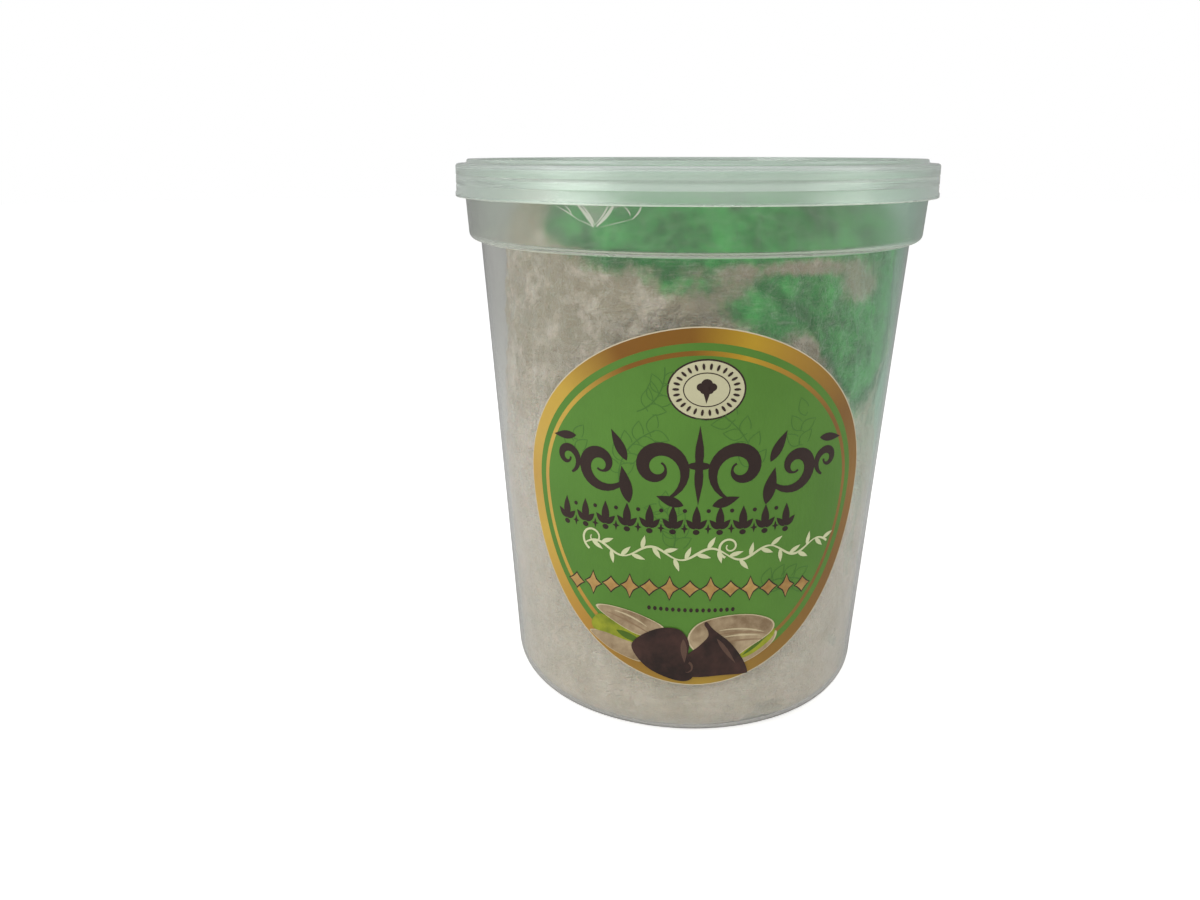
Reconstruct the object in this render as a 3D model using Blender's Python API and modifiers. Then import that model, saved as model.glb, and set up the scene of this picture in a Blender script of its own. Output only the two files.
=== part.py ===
"""A round clear tub of cotton candy with a press-on lid: tub, lid, label, inner bag and two colours of floss.

Metres, +Z up. The origin is the middle of the base on the surface that the tub stands on, and the label
faces -Y.
"""

import math

import bmesh
import bpy

# Driving sizes of the pack.
LID_DIAMETER = 0.1190
TOTAL_HEIGHT = 0.1376
WALL = 0.0008
FIT_GAP = 0.0003
TURN_STEPS = 60

# Tub: a tapered body, a ledge, and a wider collar under a small rim flange.
BASE_RADIUS = 0.0461
BODY_TOP_RADIUS = 0.0536
BASE_CORNER = 0.0095
BASE_CORNER_POINTS = 5
FOOT_WIDTH = 0.0018
FOOT_RISE = 0.0012
LEDGE_HEIGHT = 0.1184
COLLAR_RADIUS = 0.0565
COLLAR_CORNER = 0.0019
COLLAR_CORNER_POINTS = 3
RIM_HEIGHT = 0.1354
RIM_RADIUS = 0.0583
RIM_FLANGE = 0.0015
RIM_NECK_RADIUS = 0.0575

# Lid: a skirt over the flange, a shoulder, a raised stacking ring and a sunk panel.
LID_RADIUS = LID_DIAMETER / 2
SKIRT_BOTTOM = 0.1288
SHOULDER_HEIGHT = TOTAL_HEIGHT - 0.0010
RING_OUTER_RADIUS = 0.0566
RING_INNER_RADIUS = 0.0550
PANEL_HEIGHT = TOTAL_HEIGHT - 0.0050
PANEL_BEAD_RADIUS = 0.0460
PANEL_BEAD_WIDTH = 0.0020
PANEL_BEAD_RISE = 0.0006
EDGE_ROUND = 0.0004

# Label: an egg-shaped sticker laid round the body, sizes measured flat along the wall.
LABEL_HALF_WIDTH = 0.0440
LABEL_TOP = 0.0395
LABEL_BOTTOM = 0.0483
LABEL_TOP_POWER = 1.85
LABEL_BOTTOM_POWER = 1.93
LABEL_WIDEST_HEIGHT = 0.0645
LABEL_TURN = math.radians(3.2)
LABEL_THICKNESS = 0.0003
LABEL_CELLS = 12

# Floss: it fills the bag, wider where it rests on the wall and narrower towards the top.
FLOSS_BOTTOM = FOOT_RISE + WALL + 3 * FIT_GAP
FLOSS_TOP = 0.1303
FLOSS_BASE_RADIUS = 0.0443
FLOSS_WIDEST_RADIUS = 0.0478
FLOSS_WIDEST_HEIGHT = 0.060
FLOSS_TOP_RADIUS = 0.0462
FLOSS_BOTTOM_ROUND = 0.0070
FLOSS_TOP_ROUND = 0.0100
FLOSS_SEGMENTS = 32
FLOSS_RINGS = 20
FLOSS_LUMP_DEPTH = 0.0009

# Bag: a thin clear skin round the floss, gathered to a small mouth under the lid.
BAG_THICKNESS = 0.0003
BAG_MOUTH_RADIUS = 0.0060
BAG_STEPS = 32

# Border between the white and the green floss: a wavy level with hollows and rises at the rim.
BORDER_LEVEL = 0.1140
BORDER_CELLS = 14
BORDER_REACH = 0.0600
BORDER_TOP = FLOSS_TOP + 0.0200
# Each entry is an angle round the pack from its front, a height change and how far it spreads.
BORDER_SWELLS = (
    (math.radians(58), -0.0340, 0.0205),
    (math.radians(-72), 0.0260, 0.0210),
    (math.radians(-170), -0.0180, 0.0170),
    (math.radians(120), 0.0060, 0.0150),
)


def clear_scene():
    for thing in list(bpy.data.objects):
        bpy.data.objects.remove(thing, do_unlink=True)


def new_collection(name):
    collection = bpy.data.collections.new(name)
    bpy.context.scene.collection.children.link(collection)
    return collection


def finish_material(name, colour, roughness, alpha=1.0):
    material = bpy.data.materials.new(name)
    material.use_nodes = True
    shader = material.node_tree.nodes["Principled BSDF"]
    shader.inputs["Base Color"].default_value = (*colour, 1.0)
    shader.inputs["Roughness"].default_value = roughness
    shader.inputs["Metallic"].default_value = 0.0
    shader.inputs["Alpha"].default_value = alpha
    return material


def add_object(name, mesh, collection, material=None):
    made = bpy.data.objects.new(name, mesh)
    collection.objects.link(made)
    if material:
        mesh.materials.append(material)
    return made


def arc(centre_r, centre_z, radius, start_deg, end_deg, points):
    """Points on an arc in the (radius, height) plane, both ends included."""
    outline = []
    for i in range(points + 1):
        angle = math.radians(start_deg + (end_deg - start_deg) * i / points)
        outline.append((centre_r + radius * math.cos(angle), centre_z + radius * math.sin(angle)))
    return outline


def inset(outline, distance):
    """The outline moved to its left by distance, with mitred corners. Points on the axis stay on it."""
    moved = []
    last = len(outline) - 1
    for i, (r, z) in enumerate(outline):
        before = outline[max(i - 1, 0)]
        after = outline[min(i + 1, last)]
        normals = []
        for a, b in ((before, (r, z)), ((r, z), after)):
            length = math.hypot(b[0] - a[0], b[1] - a[1])
            if length > 0:
                normals.append((-(b[1] - a[1]) / length, (b[0] - a[0]) / length))
        nr = sum(n[0] for n in normals) / len(normals)
        nz = sum(n[1] for n in normals) / len(normals)
        stretch = distance / (nr * nr + nz * nz)
        moved.append((0.0 if r == 0.0 else r + nr * stretch, z + nz * stretch))
    return moved


def turned(name, profile, steps, collection, material):
    """A solid of revolution of a (radius, height) profile."""
    mesh = bpy.data.meshes.new(name)
    edges = [(i, i + 1) for i in range(len(profile) - 1)]
    mesh.from_pydata([(r, 0.0, z) for r, z in profile], edges, [])
    made = add_object(name, mesh, collection, material)
    screw = made.modifiers.new("Turn", "SCREW")
    screw.axis = "Z"
    screw.steps = steps
    screw.render_steps = steps
    screw.use_merge_vertices = True
    screw.merge_threshold = 0.00001
    screw.use_smooth_shade = True
    # The profile climbs its outer side, so the turned faces are flipped to look outwards.
    screw.use_normal_flip = True
    return made


def body_radius(height):
    """Outer radius of the tub's tapered wall at a height."""
    rise = (height - BASE_CORNER) / (LEDGE_HEIGHT - BASE_CORNER)
    return BASE_RADIUS + (BODY_TOP_RADIUS - BASE_RADIUS) * rise


def tub_outline():
    """Outer face of the tub from the middle of its base up to the neck below the rim flange."""
    corner_centre = BASE_RADIUS - BASE_CORNER
    taper_deg = math.degrees(
        math.atan((BODY_TOP_RADIUS - BASE_RADIUS) / (LEDGE_HEIGHT - BASE_CORNER))
    )
    foot_inner = corner_centre - FOOT_WIDTH
    outline = [(0.0, FOOT_RISE), (foot_inner - FOOT_RISE, FOOT_RISE), (foot_inner, 0.0)]
    outline += arc(corner_centre, BASE_CORNER, BASE_CORNER, -90, -taper_deg, BASE_CORNER_POINTS)
    outline.append((BODY_TOP_RADIUS, LEDGE_HEIGHT))
    outline += arc(
        COLLAR_RADIUS - COLLAR_CORNER, LEDGE_HEIGHT + COLLAR_CORNER, COLLAR_CORNER,
        -90, 0, COLLAR_CORNER_POINTS,
    )
    outline.append((RIM_NECK_RADIUS, RIM_HEIGHT - RIM_FLANGE))
    return outline


def make_tub(collection):
    outer = tub_outline()
    inner = inset(outer, WALL)
    neck_inner = inner[-1][0]
    flange = [
        (RIM_RADIUS, RIM_HEIGHT - RIM_FLANGE),
        (RIM_RADIUS, RIM_HEIGHT - EDGE_ROUND),
        (RIM_RADIUS - EDGE_ROUND, RIM_HEIGHT),
        (neck_inner, RIM_HEIGHT),
    ]
    clear = finish_material("clear_plastic", (0.86, 0.89, 0.86), 0.15, 0.35)
    return turned("tub", outer + flange + inner[::-1], TURN_STEPS, collection, clear)


def make_lid(collection):
    skirt_inner = LID_RADIUS - WALL
    shoulder_under = SHOULDER_HEIGHT - WALL
    panel_under = PANEL_HEIGHT - WALL
    plug_radius = RING_OUTER_RADIUS - FIT_GAP
    under = [
        (0.0, panel_under),
        (plug_radius, panel_under),
        (plug_radius, shoulder_under),
        (skirt_inner, shoulder_under),
        (skirt_inner, SKIRT_BOTTOM),
    ]
    bead_outer = PANEL_BEAD_RADIUS + PANEL_BEAD_WIDTH / 2
    bead_inner = PANEL_BEAD_RADIUS - PANEL_BEAD_WIDTH / 2
    over = [
        (LID_RADIUS, SKIRT_BOTTOM),
        (LID_RADIUS, SHOULDER_HEIGHT - EDGE_ROUND),
        (LID_RADIUS - EDGE_ROUND, SHOULDER_HEIGHT),
        (RING_OUTER_RADIUS, SHOULDER_HEIGHT),
        (RING_OUTER_RADIUS, TOTAL_HEIGHT - EDGE_ROUND),
        (RING_OUTER_RADIUS - EDGE_ROUND, TOTAL_HEIGHT),
        (RING_INNER_RADIUS + EDGE_ROUND, TOTAL_HEIGHT),
        (RING_INNER_RADIUS, TOTAL_HEIGHT - EDGE_ROUND),
        (RING_INNER_RADIUS - EDGE_ROUND, PANEL_HEIGHT + EDGE_ROUND),
        (RING_INNER_RADIUS - 2 * EDGE_ROUND, PANEL_HEIGHT),
        (bead_outer + PANEL_BEAD_RISE, PANEL_HEIGHT),
        (bead_outer, PANEL_HEIGHT + PANEL_BEAD_RISE),
        (bead_inner, PANEL_HEIGHT + PANEL_BEAD_RISE),
        (bead_inner - PANEL_BEAD_RISE, PANEL_HEIGHT),
        (0.0, PANEL_HEIGHT),
    ]
    milky = finish_material("milky_plastic", (0.78, 0.83, 0.79), 0.3, 0.6)
    return turned("lid", under + over, TURN_STEPS, collection, milky)


def egg_point(x, y):
    """Maps a point of the unit disc to the label's egg outline, flat, from its widest line."""
    angle = math.atan2(y, x)
    power = LABEL_TOP_POWER if y > 0 else LABEL_BOTTOM_POWER
    reach = LABEL_TOP if y > 0 else LABEL_BOTTOM
    # Radius of the super-ellipse in this direction, before it is stretched.
    edge = (abs(math.cos(angle)) ** power + abs(math.sin(angle)) ** power) ** (-1 / power)
    return x * edge * LABEL_HALF_WIDTH, y * edge * reach


def lay_on_wall(across, up, lift):
    """The place of a flat label point on the tapered wall, lift outside it."""
    taper = math.atan((BODY_TOP_RADIUS - BASE_RADIUS) / (LEDGE_HEIGHT - BASE_CORNER))
    middle = body_radius(LABEL_WIDEST_HEIGHT) / math.sin(taper)
    slant = math.hypot(across, middle + up)
    fan = math.atan2(across, middle + up)
    turn = LABEL_TURN + fan / math.sin(taper)
    radius = slant * math.sin(taper) + lift * math.cos(taper)
    height = LABEL_WIDEST_HEIGHT + (slant - middle) * math.cos(taper) - lift * math.sin(taper)
    return radius * math.sin(turn), -radius * math.cos(turn), height


def make_label(collection):
    mesh = bpy.data.meshes.new("label")
    shape = bmesh.new()
    bmesh.ops.create_grid(shape, x_segments=LABEL_CELLS, y_segments=LABEL_CELLS, size=1.0)
    for vertex in shape.verts:
        x, y, _ = vertex.co
        disc_x = x * math.sqrt(1 - y * y / 2)
        disc_y = y * math.sqrt(1 - x * x / 2)
        vertex.co = lay_on_wall(*egg_point(disc_x, disc_y), FIT_GAP)
    bmesh.ops.recalc_face_normals(shape, faces=shape.faces)
    front = max(shape.faces, key=lambda face: -face.calc_center_median().y)
    if front.normal.y > 0:
        bmesh.ops.reverse_faces(shape, faces=shape.faces)
    shape.to_mesh(mesh)
    shape.free()
    paper = finish_material("printed_label", (0.10, 0.24, 0.06), 0.45)
    made = add_object("label", mesh, collection, paper)
    sheet = made.modifiers.new("Sheet", "SOLIDIFY")
    sheet.thickness = LABEL_THICKNESS
    sheet.offset = 1.0
    sheet.use_even_offset = True
    return made


def floss_outline(spread, points_per_corner):
    """Side outline of the packed floss from its bottom middle to its top middle, spread outwards."""
    low_r = FLOSS_BASE_RADIUS - FLOSS_BOTTOM_ROUND
    low_z = FLOSS_BOTTOM + FLOSS_BOTTOM_ROUND
    high_r = FLOSS_TOP_RADIUS - FLOSS_TOP_ROUND
    high_z = FLOSS_TOP - FLOSS_TOP_ROUND
    low_arc = arc(low_r, low_z, FLOSS_BOTTOM_ROUND + spread, -90, 0, points_per_corner)
    high_arc = arc(high_r, high_z, FLOSS_TOP_ROUND + spread, 0, 90, points_per_corner)
    outline = [(0.0, FLOSS_BOTTOM - spread), (low_r / 2, FLOSS_BOTTOM - spread)] + low_arc
    outline.append((FLOSS_WIDEST_RADIUS + spread, FLOSS_WIDEST_HEIGHT))
    outline += high_arc + [(high_r / 2, FLOSS_TOP + spread), (0.0, FLOSS_TOP + spread)]
    return outline


def point_along(outline, share):
    """The point at a share of the outline's whole length."""
    lengths = [math.dist(a, b) for a, b in zip(outline, outline[1:])]
    left = share * sum(lengths)
    for a, b, length in zip(outline, outline[1:], lengths):
        if left <= length:
            part = left / length
            return a[0] + (b[0] - a[0]) * part, a[1] + (b[1] - a[1]) * part
        left -= length
    return outline[-1]


def lump(turn, height):
    """Soft hollows in the floss, from 0 to 1, round the pack and up it."""
    wave = math.sin(3 * turn + 60 * height) + math.sin(5 * turn - 95 * height + 1.3)
    return 0.5 + 0.25 * wave


def floss_body(name, collection):
    """The whole plug of floss before it is parted by colour: a sphere reshaped to the bag's inside."""
    mesh = bpy.data.meshes.new(name)
    shape = bmesh.new()
    bmesh.ops.create_uvsphere(
        shape, u_segments=FLOSS_SEGMENTS, v_segments=FLOSS_RINGS, radius=1.0
    )
    outline = floss_outline(0.0, 6)
    for vertex in shape.verts:
        x, y, z = vertex.co
        share = 0.5 + math.asin(max(-1.0, min(1.0, z))) / math.pi
        radius, height = point_along(outline, share)
        turn = math.atan2(y, x)
        depth = FLOSS_LUMP_DEPTH * lump(turn, height) * min(1.0, radius / FLOSS_BASE_RADIUS)
        vertex.co = ((radius - depth) * math.cos(turn), (radius - depth) * math.sin(turn), height)
    shape.to_mesh(mesh)
    shape.free()
    return add_object(name, mesh, collection)


def border_height(x, y):
    height = BORDER_LEVEL
    for turn, change, spread in BORDER_SWELLS:
        rim_x = FLOSS_TOP_RADIUS * math.sin(turn)
        rim_y = -FLOSS_TOP_RADIUS * math.cos(turn)
        away = math.hypot(x - rim_x, y - rim_y) / spread
        height += change * math.exp(-away * away)
    return height


def border_block(name, drop, collection):
    """A block whose underside is the wavy border, drop below it, and whose top clears the floss."""
    mesh = bpy.data.meshes.new(name)
    shape = bmesh.new()
    bmesh.ops.create_grid(
        shape, x_segments=BORDER_CELLS, y_segments=BORDER_CELLS, size=BORDER_REACH
    )
    # Triangles, so that both blocks bend along the same lines and the parted faces stay parallel.
    bmesh.ops.triangulate(shape, faces=shape.faces, quad_method="FIXED")
    raised = bmesh.ops.extrude_face_region(shape, geom=list(shape.faces))
    top = {v for v in raised["geom"] if isinstance(v, bmesh.types.BMVert)}
    for vertex in shape.verts:
        if vertex in top:
            vertex.co.z = BORDER_TOP
        else:
            vertex.co.z = border_height(vertex.co.x, vertex.co.y) - drop
    bmesh.ops.recalc_face_normals(shape, faces=shape.faces)
    shape.to_mesh(mesh)
    shape.free()
    made = add_object(name, mesh, collection)
    made.hide_render = True
    made.display_type = "WIRE"
    return made


def make_floss(name, operation, block, collection, material):
    made = floss_body(name, collection)
    made.data.materials.append(material)
    parting = made.modifiers.new("Parting", "BOOLEAN")
    parting.operation = operation
    parting.solver = "EXACT"
    parting.object = block
    return made


def make_bag(collection):
    """A turned skin. Its outer face runs up from the middle of the bottom, and its inner face back down."""
    skin_gap = FIT_GAP
    outer = floss_outline(skin_gap + BAG_THICKNESS, 4)[:-1]
    inner = floss_outline(skin_gap, 4)[:-1]
    outer[-1] = (BAG_MOUTH_RADIUS, outer[-1][1])
    inner[-1] = (BAG_MOUTH_RADIUS, inner[-1][1])
    film = finish_material("clear_film", (0.90, 0.92, 0.90), 0.1, 0.2)
    return turned("bag", outer + inner[::-1], BAG_STEPS, collection, film)


def main():
    clear_scene()
    pack = new_collection("cotton_candy_tub")
    cutters = new_collection("cutters")
    make_tub(pack)
    make_lid(pack)
    make_label(pack)
    make_bag(pack)
    white = finish_material("white_floss", (0.62, 0.57, 0.50), 0.9)
    green = finish_material("green_floss", (0.12, 0.36, 0.15), 0.9)
    upper = border_block("border_upper", 0.0, cutters)
    lower = border_block("border_lower", FIT_GAP, cutters)
    make_floss("floss_green", "INTERSECT", upper, pack, green)
    make_floss("floss_white", "DIFFERENCE", lower, pack, white)


main()
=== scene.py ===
"""Looks of a clear tub of cotton candy: moulded plastic, a printed label, spun sugar and a crinkled bag."""

import math

import bpy
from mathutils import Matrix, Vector, noise


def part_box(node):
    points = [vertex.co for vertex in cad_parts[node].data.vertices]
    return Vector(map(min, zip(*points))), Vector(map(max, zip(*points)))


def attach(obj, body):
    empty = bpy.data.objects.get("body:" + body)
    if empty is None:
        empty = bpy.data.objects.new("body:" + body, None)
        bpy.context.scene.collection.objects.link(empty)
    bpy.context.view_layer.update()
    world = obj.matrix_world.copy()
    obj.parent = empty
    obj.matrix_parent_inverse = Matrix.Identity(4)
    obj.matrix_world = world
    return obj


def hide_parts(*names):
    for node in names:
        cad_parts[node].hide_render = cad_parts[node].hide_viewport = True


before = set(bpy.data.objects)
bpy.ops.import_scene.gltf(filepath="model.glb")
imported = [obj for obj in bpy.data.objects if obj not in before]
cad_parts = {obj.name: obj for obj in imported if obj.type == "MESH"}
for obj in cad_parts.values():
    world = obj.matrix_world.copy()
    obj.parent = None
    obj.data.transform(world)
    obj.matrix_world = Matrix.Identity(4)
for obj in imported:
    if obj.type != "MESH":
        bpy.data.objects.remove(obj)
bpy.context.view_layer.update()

MM = 0.001
FULL_TURN = 2 * math.pi

# Sizes of the pack, from the frame's own boxes where a box gives them.
TUB_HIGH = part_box("tub")[1]
LID_LOW, LID_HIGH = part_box("lid")
WALL = 0.8 * MM
BASE_RADIUS = 46.1 * MM
BODY_TOP_RADIUS = 53.6 * MM
BASE_CORNER = 9.5 * MM
LEDGE_HEIGHT = 118.4 * MM
COLLAR_RADIUS = 56.5 * MM
COLLAR_CORNER = 1.9 * MM
RIM_NECK_RADIUS = 57.5 * MM
RIM_RADIUS = 58.3 * MM
RIM_FLANGE = 1.5 * MM
RIM_HEIGHT = TUB_HIGH.z
LID_RADIUS = LID_HIGH.x
LID_TOP = LID_HIGH.z
SKIRT_BOTTOM = LID_LOW.z
SHOULDER_HEIGHT = LID_TOP - 1.0 * MM
RING_OUTER_RADIUS = 56.6 * MM
RING_INNER_RADIUS = 55.0 * MM
PANEL_HEIGHT = LID_TOP - 5.0 * MM
SKIRT_STEP = 0.2 * MM
SKIRT_GROOVES = (2.9 * MM, 5.1 * MM)
GROOVE_DEPTH = 0.2 * MM
TURN_STEPS = 200

# Label, in flat sizes along the wall from the middle of its widest line.
LABEL_HALF_WIDTH = 44.0 * MM
LABEL_TOP = 39.5 * MM
LABEL_BOTTOM = 48.3 * MM
LABEL_TOP_POWER = 1.85
LABEL_BOTTOM_POWER = 1.93
LABEL_WIDEST_HEIGHT = 64.5 * MM
LABEL_TURN = math.radians(3.2)
STRIP = 1.6 * MM
STICKER_LIFT = 0.05 * MM
STICKER_THICKNESS = 0.16 * MM
INK_STEP = 0.02 * MM
# Each leafy stem is its foot across and up, its heading, its length and which way it bends, in millimetres.
LEAF_STEMS = (
    (-30, 6, 70, 14, 1), (-18, 2, 100, 16, -1), (12, 4, 80, 20, 1), (24, 8, 110, 18, -1),
    (-6, -14, 60, 12, 1), (14, -24, 40, 14, -1), (-14, 20, 20, 12, 1), (22, 26, -40, 14, 1),
)

# Round lobes of the puff on the badge: across, up and radius, in millimetres.
PUFF_LOBES = ((0, 1.3, 1.25), (-1.2, 0.6, 1.0), (1.2, 0.6, 1.0), (-0.55, -0.1, 0.9), (0.6, -0.1, 0.9))

# Floss.
FLOSS_WIDEST_RADIUS = 47.8 * MM
FLOSS_WIDEST_HEIGHT = 60.0 * MM
FLOSS_TOP_RADIUS = 46.2 * MM
FLOSS_TOP_ROUND = 10.0 * MM
FLOSS_BOTTOM = 2.4 * MM
FLOSS_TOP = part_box("floss_green")[1].z
BORDER_LEVEL = 114.0 * MM
BORDER_SWELLS = (
    (math.radians(58), -34.0 * MM, 20.5 * MM),
    (math.radians(-72), 26.0 * MM, 21.0 * MM),
    (math.radians(-170), -18.0 * MM, 17.0 * MM),
    (math.radians(120), 6.0 * MM, 15.0 * MM),
)
BORDER_RIPPLES = ((15 * MM, 1.6 * MM), (6 * MM, 2.0 * MM), (2.4 * MM, 1.3 * MM))
COLOUR_REACH = 3.0 * MM
# The upper right, where the floss leans out against the wall: its turn, half width and height.
LEAN_TURN = 100
LEAN_SPREAD = 32
LEAN_START = 78 * MM
LEAN_RISE = 14 * MM
LEAN_REACH = 4.6 * MM
# Folds of the film flap: from a turn in degrees and a height in millimetres to another such place, and half
# the ridge's width in degrees.
FLAP_RIDGES = (
    (-25.2, 128.9, -21.4, 124.4, 0.34),
    (-24.2, 128.9, -21.0, 124.6, 0.16),
    (-16.6, 128.9, -20.6, 124.4, 0.34),
    (-17.8, 128.9, -20.9, 124.8, 0.14),
    (-31.0, 128.6, -25.2, 125.8, 0.14),
    (-25.4, 125.8, -21.2, 124.2, 0.14),
    (-20.4, 124.2, -12.4, 126.2, 0.16),
    (-12.6, 126.0, -10.6, 128.8, 0.16),
    (-14.6, 128.8, -13.0, 126.8, 0.12),
    (-28.6, 128.8, -26.6, 126.6, 0.12),
)
# Wisps of one colour over the other: turn, height, turn reach, height reach, and push towards green or white.
WISPS = (
    (31, 114.9, 21, 2.2, -2.5),
    (56, 110.0, 12, 6.0, -2.6),
    (-2, 110.5, 10, 4.0, 1.0),
    (15, 106.5, 11, 4.6, 1.9),
    (24, 102.0, 9, 7.0, 1.8),
    (-40, 124.0, 6, 4.0, 0.9),
    (75, 92.0, 12, 8.0, 0.8),
)

# Studio: soft grey all round, a white backdrop, and three large soft lamps.
ROOM_LIGHT = 0.45
FLOOR_GLOW = 0.64
FLOOR_BOUNCE = (0.80, 0.79, 0.78, 1.0)
FLOOR_SHINE = (0.66, 0.66, 0.65, 1.0)
FLOOR_THROUGH = (0.42, 0.43, 0.41, 1.0)
LAMPS = (
    ("lamp_left", (-0.60, -0.45, 0.35), 0.45, 3.0),
    ("lamp_right", (0.65, -0.25, 0.30), 0.40, 1.5),
    ("lamp_top", (0.0, -0.25, 0.75), 0.70, 2.0),
)
CAMERA_LENS = 31.09
CAMERA_PLACE = (0.0, -270.9 * MM, 139.7 * MM)
CAMERA_TILT = 16.16
CAMERA_TURN = 4.98


# ---------------------------------------------------------------------------------------------------------
# Small tools
# ---------------------------------------------------------------------------------------------------------


def paint(red, green, blue):
    """A colour given as it looks on a screen, 0 to 255, in the linear values that shaders take."""
    def linear(level):
        share = level / 255
        return share / 12.92 if share <= 0.04045 else ((share + 0.055) / 1.055) ** 2.4
    return linear(red), linear(green), linear(blue), 1.0


def pick_nothing():
    bpy.ops.object.select_all(action="DESELECT")


def pick_only(piece):
    pick_nothing()
    piece.select_set(True)
    bpy.context.view_layer.objects.active = piece


def settle(piece, kind, **settings):
    """Gives the piece one modifier and applies it."""
    pick_only(piece)
    modifier = piece.modifiers.new("Settle", kind)
    for key, value in settings.items():
        setattr(modifier, key, value)
    bpy.ops.object.modifier_apply(modifier=modifier.name)


def face_outwards(piece):
    pick_only(piece)
    bpy.ops.object.mode_set(mode="EDIT")
    bpy.ops.mesh.select_all(action="SELECT")
    bpy.ops.mesh.normals_make_consistent(inside=False)
    bpy.ops.object.mode_set(mode="OBJECT")


def smooth(piece, degrees=40):
    pick_only(piece)
    bpy.ops.object.shade_smooth_by_angle(angle=math.radians(degrees))


def join(pieces):
    pick_nothing()
    for piece in pieces:
        piece.select_set(True)
    bpy.context.view_layer.objects.active = pieces[0]
    bpy.ops.object.join()
    return bpy.context.object


def hand_over(piece, name, materials, slot, *nodes):
    """Names a finished piece, gives it its materials and hands it to the frame."""
    piece.name = name
    piece.data.name = name
    piece.data.materials.clear()
    for material in materials:
        piece.data.materials.append(material)
    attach(piece, "root")
    if nodes:
        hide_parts(*nodes)
    return piece


def arc(centre_r, centre_z, radius, start_deg, end_deg, points):
    """Points on an arc in the (radius, height) plane, both ends included."""
    outline = []
    for i in range(points + 1):
        angle = math.radians(start_deg + (end_deg - start_deg) * i / points)
        outline.append((centre_r + radius * math.cos(angle), centre_z + radius * math.sin(angle)))
    return outline


def inset(outline, distance):
    """The outline moved to its left by distance, with mitred corners. Points on the axis stay on it."""
    moved = []
    last = len(outline) - 1
    for i, (r, z) in enumerate(outline):
        before = outline[max(i - 1, 0)]
        after = outline[min(i + 1, last)]
        normals = []
        for a, b in ((before, (r, z)), ((r, z), after)):
            length = math.hypot(b[0] - a[0], b[1] - a[1])
            if length > 0:
                normals.append((-(b[1] - a[1]) / length, (b[0] - a[0]) / length))
        nr = sum(n[0] for n in normals) / len(normals)
        nz = sum(n[1] for n in normals) / len(normals)
        stretch = distance / (nr * nr + nz * nz)
        moved.append((0.0 if r == 0.0 else r + nr * stretch, z + nz * stretch))
    return moved


def turned(outline, steps=TURN_STEPS):
    """One point is drawn along the outline by extruding, and the line is spun once round the pack's axis."""
    pick_nothing()
    bpy.ops.mesh.primitive_plane_add(size=MM)
    piece = bpy.context.object
    bpy.ops.object.mode_set(mode="EDIT")
    bpy.ops.mesh.select_all(action="SELECT")
    bpy.ops.mesh.merge(type="CENTER")
    bpy.ops.transform.translate(value=(outline[0][0], 0, outline[0][1]))
    for (r0, z0), (r1, z1) in zip(outline, outline[1:]):
        bpy.ops.mesh.extrude_vertices_move(TRANSFORM_OT_translate={"value": (r1 - r0, 0, z1 - z0)})
    bpy.ops.mesh.select_all(action="SELECT")
    bpy.ops.mesh.spin(steps=steps, angle=FULL_TURN, center=(0, 0, 0), axis=(0, 0, 1))
    bpy.ops.mesh.select_all(action="SELECT")
    bpy.ops.mesh.remove_doubles(threshold=0.001 * MM)
    bpy.ops.mesh.normals_make_consistent(inside=False)
    bpy.ops.object.mode_set(mode="OBJECT")
    return piece


# ---------------------------------------------------------------------------------------------------------
# Shared effects and materials
# ---------------------------------------------------------------------------------------------------------


def new_group(name, inputs, outputs):
    """An empty shader group with its sockets, and its two end nodes."""
    group = bpy.data.node_groups.new(name, "ShaderNodeTree")
    for label, kind in inputs:
        group.interface.new_socket(label, in_out="INPUT", socket_type=kind)
    for label, kind in outputs:
        group.interface.new_socket(label, in_out="OUTPUT", socket_type=kind)
    return group, group.nodes.new("NodeGroupInput"), group.nodes.new("NodeGroupOutput")


def math_node(tree, operation, first, second=None, clamp=False):
    """A Math node fed by sockets or numbers. Gives its output socket."""
    node = tree.nodes.new("ShaderNodeMath")
    node.operation = operation
    node.use_clamp = clamp
    for socket, source in zip(node.inputs, (first, second)):
        if isinstance(source, (int, float)):
            socket.default_value = source
        elif source is not None:
            tree.links.new(source, socket)
    return node.outputs[0]


def noise_node(tree, vector, scale, detail=2.0, roughness=0.5, distortion=0.0):
    node = tree.nodes.new("ShaderNodeTexNoise")
    node.inputs["Detail"].default_value = detail
    node.inputs["Roughness"].default_value = roughness
    node.inputs["Distortion"].default_value = distortion
    tree.links.new(vector, node.inputs["Vector"])
    if isinstance(scale, (int, float)):
        node.inputs["Scale"].default_value = scale
    else:
        tree.links.new(scale, node.inputs["Scale"])
    return node.outputs["Fac"]


def mix_colours(tree, factor, first, second, blend="MIX"):
    """A colour Mix node fed by sockets or colours. Gives its output socket."""
    node = tree.nodes.new("ShaderNodeMix")
    node.data_type = "RGBA"
    node.blend_type = blend
    for socket, source in ((node.inputs[0], factor), (node.inputs[6], first), (node.inputs[7], second)):
        if isinstance(source, bpy.types.NodeSocket):
            tree.links.new(source, socket)
        else:
            socket.default_value = source
    return node.outputs[2]


def ramp(tree, factor, low, high):
    """Eases a value from 0 at low to 1 at high."""
    node = tree.nodes.new("ShaderNodeMapRange")
    node.interpolation_type = "SMOOTHSTEP"
    node.inputs["From Min"].default_value = low
    node.inputs["From Max"].default_value = high
    tree.links.new(factor, node.inputs["Value"])
    return node.outputs["Result"]


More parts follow.
